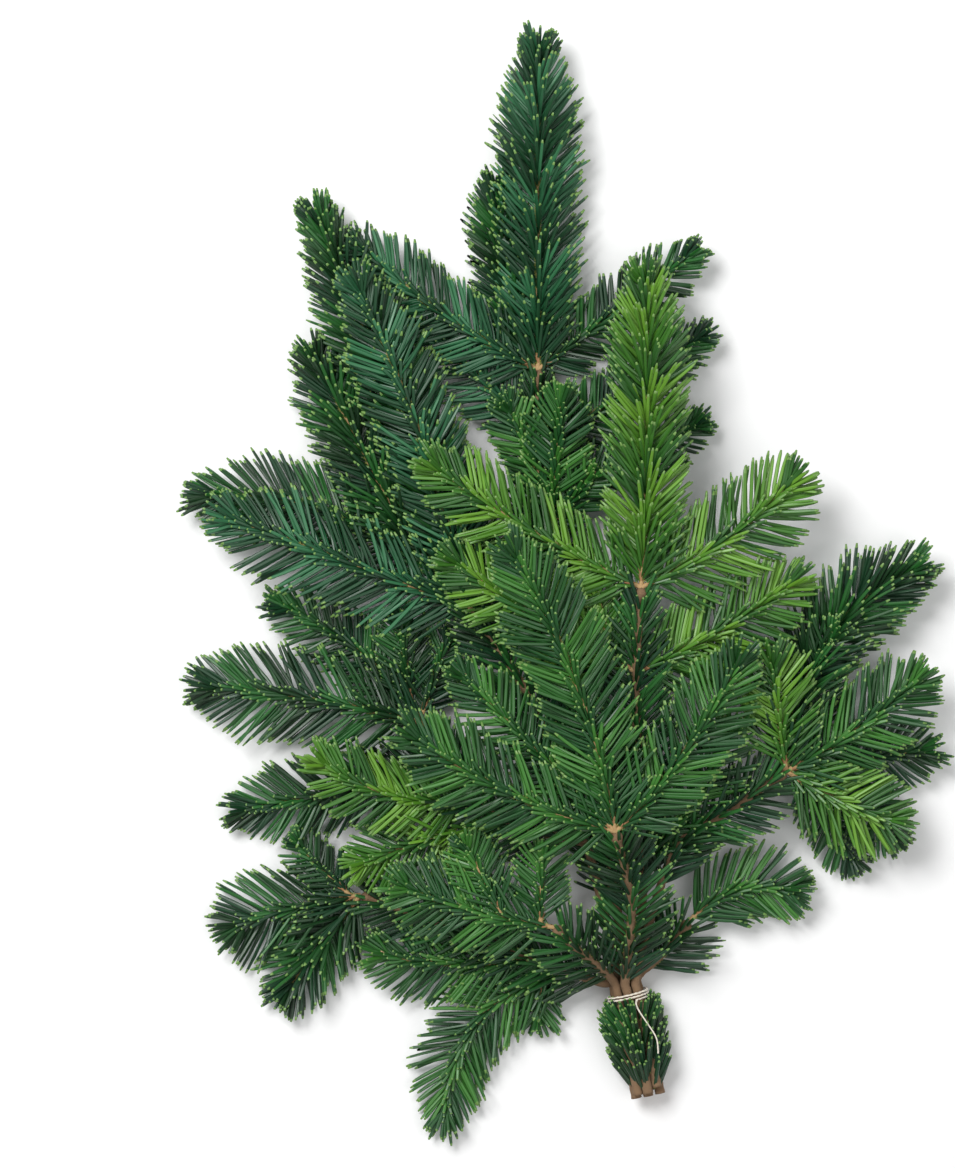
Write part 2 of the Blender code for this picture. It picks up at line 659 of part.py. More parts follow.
def main():
    clear_scene()
    rng = random.Random(SEED)
    stems = stem_axes()
    twigs = mass_twigs(stems)
    sleeves = {sleeve_name(name): sleeve_axis(name, stems) for name in stems}
    foot = axis_between(bundle_axis(), *FOOT_SPAN)
    string = string_axis()

    masses = {name: [axis for axis, _ in mass] for name, mass in twigs.items()}
    masses |= {name: [axis] for name, axis in sleeves.items()}
    masses[FOOT_NAME] = [foot]
    space = Space(masses, stems, string)

    for name in STEMS:
        make_stem(name, stems[name])
    make_fork_stem(stems)
    make_string(string)
    make_foot_needles(foot, space, rng)
    for name, axis in sleeves.items():
        make_sleeve(name, axis, space, stems, twigs, rng)
    for name, mass in twigs.items():
        make_mass(name, mass, space, stems, rng)


main()
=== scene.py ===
"""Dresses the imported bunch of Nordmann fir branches: needles, bark, buds, scales, string, floor and light.

The stems, the shoots and their rule are those of the part's source. Each shoot is a twig with bark,
and in the place of its rows of teeth it carries single needles, dealt out round it by the golden
angle and combed to its sides. The needles reach about as far out from their twig as its teeth do.

Places are in millimetres until a mesh is made, in the same frame as the part. The lights, the camera
and the floor are in metres.
"""

import math
from collections import namedtuple
from functools import cache

import bpy
import numpy as np
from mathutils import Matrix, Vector


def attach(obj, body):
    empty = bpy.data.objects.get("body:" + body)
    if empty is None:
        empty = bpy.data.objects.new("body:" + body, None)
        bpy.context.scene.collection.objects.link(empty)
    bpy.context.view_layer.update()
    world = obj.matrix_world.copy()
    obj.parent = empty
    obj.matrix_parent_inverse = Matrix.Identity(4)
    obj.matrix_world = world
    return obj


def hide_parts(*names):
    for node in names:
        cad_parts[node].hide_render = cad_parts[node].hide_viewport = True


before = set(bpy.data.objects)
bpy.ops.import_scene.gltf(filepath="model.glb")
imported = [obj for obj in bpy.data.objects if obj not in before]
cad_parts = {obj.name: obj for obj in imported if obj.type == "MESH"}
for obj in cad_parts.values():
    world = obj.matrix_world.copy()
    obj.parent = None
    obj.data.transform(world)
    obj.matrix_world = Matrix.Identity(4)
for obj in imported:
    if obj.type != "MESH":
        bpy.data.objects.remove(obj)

SEED = 7
MM = 0.001
GAP = 0.3
UP = np.array([0.0, 0.0, 1.0])
GOLDEN_ANGLE = 137.508

# The bundle of cut ends: its axis runs from the foot to the string.
FOOT = np.array([50.0, -300.0, 14.0])
TIE = np.array([38.0, -241.0, 14.0])
STEMS_ROUND_CENTRE = 7
STEM_FOOT_RADIUS = 3.0
STEM_END_RADIUS = 2.2
BUNDLE_SLACK = 0.05
BUNDLE_RING = (STEM_FOOT_RADIUS + GAP / 2) / math.sin(math.pi / STEMS_ROUND_CENTRE) + BUNDLE_SLACK
BUNDLE_RADIUS = BUNDLE_RING + STEM_FOOT_RADIUS
CUT_STAGGER = 2.5
CUT_STEPS = 3
RELEASE = 10.0
RELEASE_SPREAD = 1.15

# The string: turns round the bundle, then a loose tail over the foot.
STRING_RADIUS = 0.7
STRING_SLACK = 1.0
STRING_TURNS = 2.5
STRING_PITCH = 1.8
STRING_STEP = 26.0
STRING_AROUND = BUNDLE_RADIUS + GAP + STRING_RADIUS + STRING_SLACK
STRING_TAIL = [(43, -247, 29.5), (49, -256, 31), (54, -264, 31), (55, -273, 30.5)]
TAIL_PIECES = 3

# The string's two plies: their own radius, their distance from its axis and their twist a millimetre.
PLY_RADIUS = 0.4
PLY_OFFSET = 0.36
PLY_TWIST = 1.1

# A stem has its slot in the bundle and its route from there. Its own needles start where every
# other stem is as far away as its sleeve's room.
Stem = namedtuple("Stem", "slot route sleeve_room")
STEMS = {
    "middle_stem": Stem(0, [(46, -184, 24), (43, -102, 44), (41, -61, 50), (44, -1, 54)], 10.5),
    "front_stem": Stem(1, [(39, -184, 38), (29, -142, 58)], 6.5),
    "right_stem": Stem(2, [(53, -187, 25), (68, -150, 31), (99, -129, 36), (129, -108, 38)], 10.5),
    "bottom_right_stem": Stem(3, [(56, -219, 12), (74, -197, 16)], 10.5),
    "back_stem": Stem(4, [(28, -172, 10), (9, -67, 10), (-10, 38, 12), (-15, 127, 16)], 10.5),
    "left_stem": Stem(5, [(19, -172, 19), (-2, -102, 26), (-26, -55, 30), (-55, -13, 32)], 10.5),
    "bottom_left_stem": Stem(
        6, [(21, -233, 13), (-26, -216, 15), (-72, -198, 15), (-119, -182, 14)], 10.5
    ),
    "near_left_stem": Stem(7, [(22, -224, 29), (7, -211, 40), (-6, -198, 46)], 8.5),
}
FORK_STEM = "low_left_stem"
FORK_FROM = "left_stem"
FORK_BACK = 156
FORK_ROUTE = [(-26, -140, 24), (-61, -118, 25), (-81, -81, 23)]
FORK_SLEEVE_ROOM = 10.5

# A shoot leaves its stem so far before the stem's end, and bulges sideways and upwards. Its tint picks the
# shades of its needles, and the blue-green tint holds a painted sheen.
Shoot = namedtuple("Shoot", "stem back tip bow rise reach style tint")
SHOOTS = {
    "back_leader": Shoot("back_stem", 0, (-15, 311, 22), 0, 0, 27, "brush", "blue"),
    "back_second": Shoot("back_stem", 4, (-39, 233, 11), 5, -8, 22, "brush", "dark"),
    "back_left_upper": Shoot("back_stem", 0, (-117, 197, 18), 5, 4, 25, "flat", "blue"),
    "back_left_lower": Shoot("back_stem", 37, (-90, 158, 12), 0, 0, 24, "flat", "blue"),
    "back_right_upper": Shoot("back_stem", 0, (73, 193, 20), 0, 0, 21, "flat", "dark"),
    "back_right_middle": Shoot("back_stem", 48, (80, 146, 14), 0, 0, 20, "flat", "dark"),
    "back_right_lower": Shoot("back_stem", 77, (78, 94, 12), 0, 0, 20, "flat", "dark"),
    "back_inner": Shoot("back_stem", 104, (-2, 108, 32), 0, 3, 22, "flat", "mid"),
    "middle_leader": Shoot("middle_stem", 0, (47, 175, 52), -2, 0, 26, "brush", "bright"),
    "middle_left_upper": Shoot("middle_stem", 0, (-74, 68, 50), 4, 0, 27, "flat", "bright"),
    "middle_left_lower": Shoot("middle_stem", 49, (-62, 13, 46), 3, 0, 26, "flat", "bright"),
    "middle_right_upper": Shoot("middle_stem", 0, (130, 58, 44), -5, 0, 30, "flat", "bright"),
    "middle_right_lower": Shoot("middle_stem", 49, (130, 0, 40), -3, 0, 28, "flat", "bright"),
    "middle_right_foot": Shoot("middle_stem", 165, (97, -85, 44), -3, 0, 24, "flat", "mid"),
    "front_leader": Shoot("front_stem", 0, (-29, 17, 76), -8, 2, 29, "flat", "mid"),
    "front_left": Shoot("front_stem", 0, (-86, -87, 62), 6, 2, 28, "flat", "mid"),
    "front_inner": Shoot("front_stem", 0, (-58, -53, 48), 0, -2, 23, "flat", "mid"),
    "front_right": Shoot("front_stem", 0, (99, -45, 62), -5, 2, 27, "flat", "mid"),
    "near_left": Shoot("near_left_stem", 0, (-93, -175, 44), 3, 2, 26, "flat", "mid"),
    "right_leader": Shoot("right_stem", 0, (203, -57, 36), -3, 2, 28, "flat", "mid"),
    "right_lower": Shoot("right_stem", 0, (189, -137, 34), -2, 2, 27, "flat", "bright"),
    "right_upper": Shoot("right_stem", 0, (120, -45, 50), 0, 3, 25, "flat", "bright"),
    "right_rear": Shoot("right_stem", 0, (202, 8, 22), 20, -4, 29, "brush", "dark"),
    "right_under": Shoot("right_stem", 0, (211, -97, 16), 0, -7, 24, "flat", "dark"),
    "left_leader": Shoot("left_stem", 0, (-193, 38, 28), 0, 2, 31, "flat", "blue"),
    "left_under": Shoot("left_stem", 0, (-208, 53, 14), -19, -4, 29, "flat", "dark"),
    "left_upper": Shoot("left_stem", 0, (-119, 171, 40), -6, 3, 28, "flat", "blue"),
    "left_rear": Shoot("left_stem", 33, (-143, 214, 18), 0, -3, 29, "brush", "dark"),
    "low_left_leader": Shoot(FORK_STEM, 0, (-206, -60, 15), -3, 2, 31, "flat", "dark"),
    "low_left_inner": Shoot(FORK_STEM, 0, (-165, -12, 13), -8, -4, 23, "flat", "dark"),
    "low_left_under": Shoot(FORK_STEM, 32, (-187, -132, 10), 0, -4, 26, "flat", "dark"),
    "low_left_curved": Shoot(FORK_STEM, 53, (-140, -104, 30), 9, 3, 24, "flat", "bright"),
    "low_left_lower": Shoot(FORK_STEM, 77, (-117, -162, 25), -2, 0, 24, "flat", "bright"),
    "bottom_left_leader": Shoot("bottom_left_stem", 0, (-191, -200, 10), -2, 0, 30, "flat", "dark"),
    "bottom_left_lower": Shoot("bottom_left_stem", 0, (-162, -238, 10), -1, 0, 24, "brush", "dark"),
    "bottom_left_inner": Shoot("bottom_left_stem", 108, (-106, -217, 15), 4, 0, 25, "flat", "mid"),
    "bottom_left_hanging": Shoot("bottom_left_stem", 130, (-69, -310, 9), -21, 0, 26, "flat", "mid"),
    "bottom_right": Shoot("bottom_right_stem", 0, (133, -179, 14), 9, 0, 25, "flat", "mid"),
}

# A side twig leaves its mass's first twig so far out from that one's root.
SideTwig = namedtuple("SideTwig", "mass out tip bow rise reach style")
SIDE_TWIGS = [
    SideTwig("back_inner", 14, (16, 64, 27), 0, 0, 18, "flat"),
    SideTwig("back_inner", 26, (-33, 105, 26), 0, 0, 18, "flat"),
    SideTwig("middle_left_lower", 15, (15, 13, 45), 0, 0, 16, "flat"),
    SideTwig("middle_right_lower", 20, (99, -43, 37), 0, 0, 18, "flat"),
    SideTwig("near_left", 8, (-13, -156, 52), 0, 0, 18, "flat"),
    SideTwig("near_left", 30, (-57, -151, 46), 0, 0, 18, "flat"),
    SideTwig("right_rear", 50, (158, -28, 36), 0, 0, 18, "flat"),
    SideTwig("right_under", 22, (193, -147, 12), 0, 0, 20, "flat"),
    SideTwig("right_under", 12, (170, -161, 10), 0, 0, 20, "flat"),
    SideTwig("left_under", 41, (-145, 132, 15), 0, 0, 26, "brush"),
    SideTwig("low_left_inner", 14, (-96, -21, 24), 0, 0, 18, "flat"),
    SideTwig("low_left_inner", 5, (-68, -30, 16), 0, 0, 16, "flat"),
    SideTwig("bottom_left_leader", 6, (-156, -152, 14), 0, 0, 16, "flat"),
    SideTwig("bottom_left_hanging", 16, (-16, -256, 9), 0, 0, 16, "flat"),
]

# Steps along the curves, and the radii of a twig.
SAMPLE_STEP = 3.0
ROUTE_PIECES = 12
BULGE_POINTS = 24
STRETCH_POINTS = 60
TWIG_ROOT_RADIUS = 1.5
TWIG_TIP_RADIUS = 0.8

# A coat is how a stretch of twig carries its needles: how many a millimetre, how far they lean out
# from it at its sides and on top, how long the top ones are against those at the sides, how far
# from straight up a needle still counts as a top one, and how far up from level the side ones
# turn, in proportion to their height round the twig.
Coat = namedtuple("Coat", "density side_lean top_lean top_size top_span lift")
COATS = {
    "flat": Coat(1.75, 54, 27, 0.42, 60.4, 28.8),
    "brush": Coat(2.3, 50, 38, 0.80, 35, 67.5),
    "stem": Coat(1.5, 52, 34, 0.62, 42, 54),
    "foot": Coat(5.2, 33, 30, 0.9, 20, 90),
}
FEWEST_NEEDLES = 4
BARE_ROOT = 3.0
STEM_REACH = 24
FOOT_REACH = 12
FOOT_SPAN = (4.0, 50.0)

# From the tip's turn on, a share of the twig's length, needles lean ahead and get shorter, the top
# ones with a part of that lean. Before the root's turn they are a bit shorter.
TIP_TURN = 0.72
ROOT_TURN = 0.12
TIP_LEAN = 24
TOP_TIP_TURN = 0.3
TIP_LENGTH = 0.58
ROOT_LENGTH = 0.86

# How far single needles depart from the rule, in degrees or as shares of their size.
LEAN_SPREAD = 5.0
ROLL_SPREAD = 9.0
TWIST_SPREAD = 16.0
LENGTH_RANGE = (0.80, 1.0)
WIDTH_RANGE = (0.88, 1.08)
BEND_RANGE = (0.2, 1.4)

# A needle: how far the lowest droop, its width, the share of the twig's radius at which it starts,
# how its tip bends ahead and up, and how far its upper face turns from the zenith to the twig's
# own top and back.
BELOW_LEVEL = 16.0
NEEDLE_WIDTH = 2.15
NEEDLE_FOOTING = 0.7
NEEDLE_BEND = 0.13
BEND_AHEAD = 0.7
BEND_UP = 0.35
FACE_UP = 0.35
FACE_BACK = 0.25

# The fan of needles round an end bud.
ROSETTE_NEEDLES = 16
ROSETTE_SPAN = 5.0
ROSETTE_LOWEST = -0.3
ROSETTE_LEANS = (12.0, 58.0)
ROSETTE_LENGTH = 0.66
ROSETTE_RANGE = (0.8, 1.05)

# A needle keeps clear of other twigs at these shares of its length. All keep clear of the floor.
CLEAR_SHARES = (0.6, 0.8, 1.0)
TWIG_CLEAR = 0.6
FLOOR_CLEAR = 0.25
NEEDLES_AT_ONCE = 400

# The needles of one spray have one shade. A spray is so long, and the right ones are so many
# shades on from the left ones.
SPRAY_LENGTH = 14.0
SPRAY_SIDE_STEP = 3

# A tube has a step along it and so many sides.
Tube = namedtuple("Tube", "step sides")
TWIG_TUBE = Tube(1.8, 8)
STEM_TUBE = Tube(1.4, 16)
PLY_TUBE = Tube(0.9, 8)

# Bark: how deep its relief is, the relief's waves round a tube and along it, and the part of a
# twig, from its root, that has the older bark.
TWIG_RELIEF = 0.10
STEM_RELIEF = 0.07
SCAR_ROUND = (5, 3)
SCAR_ALONG = (1.9, 1.3)
CRACK_ROUND = 7
CRACK_ALONG = 0.15
CRACK_DEPTH = 0.4
OLD_BARK_PART = 3

# The knob at a stem's end: its middle and its rounding in knob radii, its narrowing and its swell.
KNOB_RADIUS = 4.8
KNOB_MIDDLE = 0.4
KNOB_ROUNDING = 0.96
KNOB_NARROWING = 1.3
KNOB_SWELL = 0.75

# The end bud and the two beside it, and the collar of old bud scales round a twig's root.
BUD_LEANS = (0.0, 42.0, -42.0)
BUD_LENGTHS = (5.0, 4.0, 4.0)
BUD_WIDTHS = (3.0, 2.4, 2.4)
BUD_RANGE = (0.9, 1.1)
BUD_SUNK = 0.6
SCALE_COUNT = 16
SCALE_START = 0.7 * KNOB_RADIUS
SCALE_SPAN = 4.5
SCALE_LEANS = (8.0, 32.0)
SCALE_LENGTHS = (2.6, 4.2)
SCALE_WIDTH = 1.9

# A blade is swept along its length. Its section goes round clockwise, seen from its root, and at
# each station it has a width and a thickness against the blade's own. Some of its faces are its
# underside.
Form = namedtuple("Form", "stations widths heights section under", defaults=((),))
NEEDLE = Form(
    stations=(0.0, 0.05, 0.30, 0.72, 0.93, 1.0),
    widths=(0.50, 0.62, 1.0, 1.0, 0.84, 0.46),
    heights=(0.7, 0.6, 0.5, 0.46, 0.40, 0.22),
    section=((-1, 0), (-0.5, 0.62), (0, 0.28), (0.5, 0.62), (1, 0), (0, -0.6)),
    under=(4, 5),
)
BUD = Form(
    stations=(0.0, 0.12, 0.38, 0.68, 0.90, 1.0),
    widths=(0.55, 0.88, 1.0, 0.80, 0.42, 0.08),
    heights=(0.55, 0.88, 1.0, 0.80, 0.42, 0.08),
    section=tuple((-math.cos(math.radians(a)), math.sin(math.radians(a))) for a in range(0, 360, 45)),
)
SCALE = Form(
    stations=(0.0, 0.35, 0.75, 1.0),
    widths=(0.9, 1.0, 0.7, 0.15),
    heights=(0.30, 0.26, 0.20, 0.08),
    section=((-1, 0), (-0.5, 0.62), (0.5, 0.62), (1, 0), (0, -0.5)),
)

# A finish has a linear base colour, a roughness, the depth and fineness of its relief, a coat and
# a sheen. Each tint of needles has its shades, dealt out by spray.
Finish = namedtuple("Finish", "colour roughness bump bump_size coat sheen", defaults=(0.0, 400.0, 0.0, 0.0))
NEEDLE_SHADES = {
    "dark": [(0.004, 0.034, 0.006), (0.008, 0.062, 0.010), (0.016, 0.110, 0.017), (0.005, 0.043, 0.013)],
    # The blue-green shades are the needles' dark green with a painted sheen of reflected sky. They go to the
    # shoots on the left and back, towards the key light.
    "blue": [(0.007, 0.058, 0.018), (0.013, 0.090, 0.033), (0.028, 0.148, 0.058), (0.007, 0.048, 0.016)],
    "mid": [(0.009, 0.070, 0.009), (0.020, 0.112, 0.014), (0.041, 0.172, 0.021), (0.012, 0.076, 0.016)],
    "bright": [(0.036, 0.146, 0.011), (0.070, 0.210, 0.014), (0.122, 0.295, 0.023), (0.024, 0.106, 0.014)],
}
NEEDLE_ROUGHNESS = 0.42
NEEDLE_BUMP = 0.15
NEEDLE_BUMP_SIZE = 900.0
NEEDLE_COAT = 0.12
NEEDLE_PARTS = ("needle_underside", "needle_tip", "needle_foot")
FINISHES = {
    "needle_underside": Finish((0.070, 0.190, 0.130), 0.6),
    "needle_tip": Finish((0.140, 0.270, 0.060), 0.45),
    "needle_foot": Finish((0.160, 0.190, 0.035), 0.5),
    "young_bark": Finish((0.420, 0.270, 0.120), 0.75, 0.6, 700.0),
    "older_bark": Finish((0.300, 0.175, 0.080), 0.8, 0.7, 600.0),
    "stem_bark": Finish((0.230, 0.140, 0.075), 0.85, 0.9, 450.0),
    "bud": Finish((0.480, 0.270, 0.160), 0.5, 0.5, 900.0, 0.2),
    "bud_scale": Finish((0.330, 0.170, 0.075), 0.7, 0.5, 800.0),
    "cut_wood": Finish((0.560, 0.290, 0.120), 0.8, 0.5, 500.0),
    "cotton": Finish((0.860, 0.780, 0.660), 0.9, 0.6, 1200.0, 0.0, 0.4),
}
ROUGHNESS_SPREAD = 0.12
COAT_ROUGHNESS = 0.25
NOISE_DETAIL = 3.0
RELIEF_DISTANCE = 0.0004

FLOOR_SIZE = 6.0
FLOOR_COLOUR = (0.86, 0.86, 0.86, 1.0)
FLOOR_ROUGHNESS = 0.9
FLOOR_SPECULAR = 0.1

Light = namedtuple("Light", "location size energy")
LIGHTS = {
    "key": Light((-0.9, 0.9, 2.0), 1.0, 52.0),
    "fill": Light((1.0, -0.4, 2.2), 1.8, 14.0),
}
WORLD_COLOUR = (1.0, 1.0, 1.0, 1.0)
WORLD_STRENGTH = 0.42
CAMERA_LOCATION = (-0.0505, 0.001, 2.303)
CAMERA_LENS = 120
SENSOR_HEIGHT = 36

Blades = namedtuple("Blades", "root ahead bend across face length width shade")


class Axis:
    """A smooth line in space with a radius that tapers along it."""

    def __init__(self, points, root_radius, end_radius):
        steps = np.linalg.norm(np.diff(points, axis=0), axis=1)
        distances = np.concatenate([[0.0], np.cumsum(steps)])
        self.length = distances[-1]
        count = max(2, math.ceil(self.length / SAMPLE_STEP)) + 1
        self.stations = np.linspace(0.0, self.length, count)
        columns = [np.interp(self.stations, distances, points[:, i]) for i in range(3)]
        self.samples = np.stack(columns, axis=1)
        self.radii = np.linspace(root_radius, end_radius, count)

    def at(self, distances):
        columns = [np.interp(distances, self.stations, self.samples[:, i]) for i in range(3)]
        return np.stack(columns, axis=-1)

    def radius(self, distances):
        return np.interp(distances, self.stations, self.radii)

    def frames(self, distances):
        """The directions along the axis, level to its right and above it."""
        ahead = unit(self.at(distances + SAMPLE_STEP) - self.at(distances - SAMPLE_STEP))
        side = unit(np.cross(ahead, UP))
        return ahead, side, np.cross(side, ahead)


def unit(vectors):
    return vectors / np.linalg.norm(vectors, axis=-1, keepdims=True)


def square_to(vectors, ahead):
    """The unit vectors nearest to the given ones that are square to ahead."""
    return unit(vectors - ahead * (vectors * ahead).sum(1)[:, None])


def turned(vectors, axes, degrees):
    """The vectors turned about the axes, which are square to them."""
    angle = np.radians(degrees)[:, None]
    return np.cos(angle) * vectors + np.sin(angle) * np.cross(axes, vectors)


def smooth_line(points, pieces=ROUTE_PIECES):
    """A Catmull-Rom curve through the points."""
    points = [np.array(p, float) for p in points]
    ends = [2 * points[0] - points[1]] + points + [2 * points[-1] - points[-2]]
    line = []
    for before, start, end, after in zip(ends, ends[1:], ends[2:], ends[3:]):
        for t in np.linspace(0.0, 1.0, pieces, endpoint=False):
            line.append(0.5 * (
                2 * start
                + (end - before) * t
                + (2 * before - 5 * start + 4 * end - after) * t**2
                + (3 * start - before - 3 * end + after) * t**3
            ))
    return np.array(line + [points[-1]])


def bulging_line(root, tip, bow, rise):
    """A curve from root to tip whose middle lies bow to the left of the chord and rise above it."""
    root, tip = np.array(root, float), np.array(tip, float)
    left = unit(np.cross(UP, tip - root))
    bend = (root + tip) / 2 + 2 * (bow * left + rise * UP)
    t = np.linspace(0.0, 1.0, BULGE_POINTS)[:, None]
    return (1 - t) ** 2 * root + 2 * t * (1 - t) * bend + t**2 * tip


def bundle_frame():
    """The directions along the bundle, level to its right and above it."""
    ahead = unit(TIE - FOOT)
    side = unit(np.cross(ahead, UP))
    return ahead, side, np.cross(side, ahead)


def bundle_offset(slot):
    """Where a stem runs in the bundle: slot 0 at the centre, the others clockwise from the top."""
    _, side, up = bundle_frame()
    if slot == 0:
        return np.zeros(3)
    angle = math.pi / 2 - 2 * math.pi * (slot - 1) / STEMS_ROUND_CENTRE
    return BUNDLE_RING * (math.cos(angle) * side + math.sin(angle) * up)


def bundled_stem_axis(stem):
    ahead = bundle_frame()[0]
    offset = bundle_offset(stem.slot)
    foot = FOOT + offset + CUT_STAGGER * (stem.slot % CUT_STEPS) * ahead
    release = TIE + RELEASE * ahead + RELEASE_SPREAD * offset
    line = smooth_line([foot, TIE + offset, release, *stem.route])
    return Axis(line, STEM_FOOT_RADIUS, STEM_END_RADIUS)


def stem_axes():
    """Each stem's axis by its name, with the stem that forks off another one last."""
    axes = {name: bundled_stem_axis(stem) for name, stem in STEMS.items()}
    parent = axes[FORK_FROM]
    line = smooth_line([parent.at(parent.length - FORK_BACK), *FORK_ROUTE])
    axes[FORK_STEM] = Axis(line, STEM_END_RADIUS, STEM_END_RADIUS)
    return axes


def twig_axis(root, shoot):
    line = bulging_line(root, shoot.tip, shoot.bow, shoot.rise)
    return Axis(line, TWIG_ROOT_RADIUS, TWIG_TIP_RADIUS)


def mass_twigs(stems):
    """For each mass its twigs, as (axis, shoot), with the main one first."""
    twigs = {}
    for name, shoot in SHOOTS.items():
        stem = stems[shoot.stem]
        twigs[name] = [(twig_axis(stem.at(stem.length - shoot.back), shoot), shoot)]
    for twig in SIDE_TWIGS:
        main = twigs[twig.mass][0][0]
        twigs[twig.mass].append((twig_axis(main.at(twig.out), twig), twig))
    return twigs


def axis_between(axis, start, end):
    points = axis.at(np.linspace(start, end, STRETCH_POINTS))
    return Axis(points, axis.radius(start), axis.radius(end))


def sleeve_axis(name, stems):
    """The stretch of a stem before its knob that has room from every other stem."""
    own = stems[name]
    room = STEMS[name].sleeve_room if name in STEMS else FORK_SLEEVE_ROOM
    others = np.concatenate([axis.samples for other, axis in stems.items() if other != name])
    distances = np.linalg.norm(own.samples[:, None] - others[None], axis=2).min(axis=1)
    end = own.length - KNOB_RADIUS
    inside = own.stations < end
    crowded = own.stations[inside & (distances < room)]
    return axis_between(own, crowded.max() + SAMPLE_STEP, end)


def string_axis():
    """The string's turns round the bundle, from below, and the tail that lies over the foot."""
    ahead, side, up = bundle_frame()
    points = []
    for angle in np.arange(0.0, 360.0 * STRING_TURNS, STRING_STEP):
        turn = math.radians(angle)
        centre = TIE + (STRING_TURNS / 2 - angle / 360.0) * STRING_PITCH * ahead
        points.append(centre + STRING_AROUND * (math.sin(turn) * side - math.cos(turn) * up))
    tail = smooth_line([points[-1], *STRING_TAIL], TAIL_PIECES)
    return Axis(np.array(points + list(tail[1:])), STRING_RADIUS, STRING_RADIUS)


def ramps(share):
    """How near each place is to the tip and to the root, from 0 to 1."""
    near_tip = np.clip((share - TIP_TURN) / (1 - TIP_TURN), 0.0, 1.0)
    near_root = np.clip((ROOT_TURN - share) / ROOT_TURN, 0.0, 1.0)
    return near_tip, near_root


def combed(angles, coat):
    """The roll of each needle from its place round the twig, and whether it is a top one.

    The top ones keep their place. The others turn to their own side, a little above or below level.
    """
    height = np.sin(np.radians(angles))
    on_top = height > math.cos(math.radians(coat.top_span))
    on_right = np.cos(np.radians(angles)) >= 0
    lifted = height * np.where(height < 0, BELOW_LEVEL, coat.lift)
    return np.where(on_top, angles, np.where(on_right, lifted, 180.0 - lifted)), on_top


def needles_along(axis, coat, reach, rng, start=BARE_ROOT):
    """The needles of one twig, as blades."""
    count = max(FEWEST_NEEDLES, int((axis.length - start) * coat.density))
    distances = start + (axis.length - start) * (np.arange(count) + rng.random(count)) / count
    angles = (GOLDEN_ANGLE * np.arange(count) + rng.normal(0, ROLL_SPREAD, count)) % 360.0
    rolls, on_top = combed(angles, coat)
    rolls = rolls + rng.normal(0, ROLL_SPREAD, count)
    near_tip, near_root = ramps(distances / axis.length)
    lean = np.where(on_top, coat.top_lean, coat.side_lean)
    lean = lean + (TIP_LEAN - lean) * near_tip * np.where(on_top, TOP_TIP_TURN, 1.0)
    lean = lean + rng.normal(0, LEAN_SPREAD, count)
    size = 1 - (1 - TIP_LENGTH) * near_tip - (1 - ROOT_LENGTH) * near_root
    size = size * np.where(on_top, coat.top_size, 1.0) * rng.uniform(*LENGTH_RANGE, count)
    length = size * reach / math.sin(math.radians(coat.side_lean))
    return blades_at(axis, distances, rolls, lean, length, rng)


def rosette(axis, reach, rng):
    """The fan of needles round a twig's end bud, with none straight below it."""
    distances = axis.length - rng.uniform(0.0, ROSETTE_SPAN, ROSETTE_NEEDLES)
    rolls = GOLDEN_ANGLE * np.arange(ROSETTE_NEEDLES)
    rolls = np.where(np.sin(np.radians(rolls)) < ROSETTE_LOWEST, -rolls, rolls)
    lean = rng.uniform(*ROSETTE_LEANS, ROSETTE_NEEDLES)
    length = ROSETTE_LENGTH * reach * rng.uniform(*ROSETTE_RANGE, ROSETTE_NEEDLES)
    return blades_at(axis, distances, rolls, lean, length, rng)


def outward(rolls, side, up):
    """The directions out from an axis at each roll about it."""
    roll = np.radians(rolls)[:, None]
    return np.cos(roll) * side + np.sin(roll) * up


def blades_at(axis, distances, rolls, lean, length, rng):
    """Blades that stand on an axis, each at its distance, roll and lean."""
    count = len(distances)
    along, side, up = axis.frames(distances)
    out = outward(rolls, side, up)
    root = axis.at(distances) + NEEDLE_FOOTING * axis.radius(distances)[:, None] * out
    lean = np.radians(lean)[:, None]
    ahead = np.cos(lean) * along + np.sin(lean) * out
    face = square_to(UP + FACE_UP * up - FACE_BACK * along, ahead)
    face = turned(face, ahead, rng.normal(0, TWIST_SPREAD, count))
    bend_way = BEND_AHEAD * along + BEND_UP * UP
    bend = NEEDLE_BEND * length[:, None] * bend_way * rng.uniform(*BEND_RANGE, (count, 1))
    on_right = np.cos(np.radians(rolls)) > 0
    shade = (distances // SPRAY_LENGTH + on_right * SPRAY_SIDE_STEP).astype(int)
    width = NEEDLE_WIDTH * rng.uniform(*WIDTH_RANGE, count)
    return Blades(root, ahead, bend, np.cross(ahead, face), face, length, width, shade)


def joined(many):
    return Blades(*(np.concatenate([getattr(b, field) for b in many]) for field in Blades._fields))


def kept(blades, keep):
    return Blades(*(getattr(blades, field)[keep] for field in Blades._fields))


def clear_of(blades, solids):
    """Without the needles whose outer part touches one of the axes."""
    samples = np.concatenate([axis.samples for axis in solids])
    radii = np.concatenate([axis.radii for axis in solids]) + TWIG_CLEAR
    free = np.ones(len(blades.length), bool)
    for share in CLEAR_SHARES:
        points = blades.root + share * blades.length[:, None] * blades.ahead + share**2 * blades.bend
        for start in range(0, len(points), NEEDLES_AT_ONCE):
            part = slice(start, start + NEEDLES_AT_ONCE)
            room = np.linalg.norm(points[part, None] - samples[None], axis=2) - radii
            free[part] &= room.min(axis=1) > 0
    return kept(blades, free)


